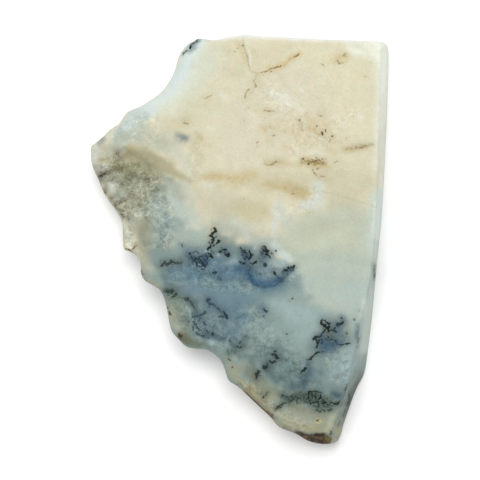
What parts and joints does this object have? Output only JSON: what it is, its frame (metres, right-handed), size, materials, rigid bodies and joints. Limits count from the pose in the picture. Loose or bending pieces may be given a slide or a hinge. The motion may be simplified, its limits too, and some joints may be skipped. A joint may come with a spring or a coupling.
{
  "type": "dendritic agate specimen",
  "caption": "Flat piece of cream and blue-grey dendritic agate, sawn on its face, back, top and right side, broken along the left.",
  "frame": {"origin": "middle of the outline's box on the flat sawn back that the stone rests on", "axes": "+Y along the longest extent, from the narrow foot to the straight sawn top edge, +X across the face to the sawn right side, +Z out of the face"},
  "size_m": [0.0447, 0.0612, 0.0081],
  "materials": {
    "agate": "waxy satin chalcedony, cream above and blue-grey below, with black dendrites"
  },
  "bodies": {
    "root": {"agate_slab": "agate"}
  },
  "joints": []
}
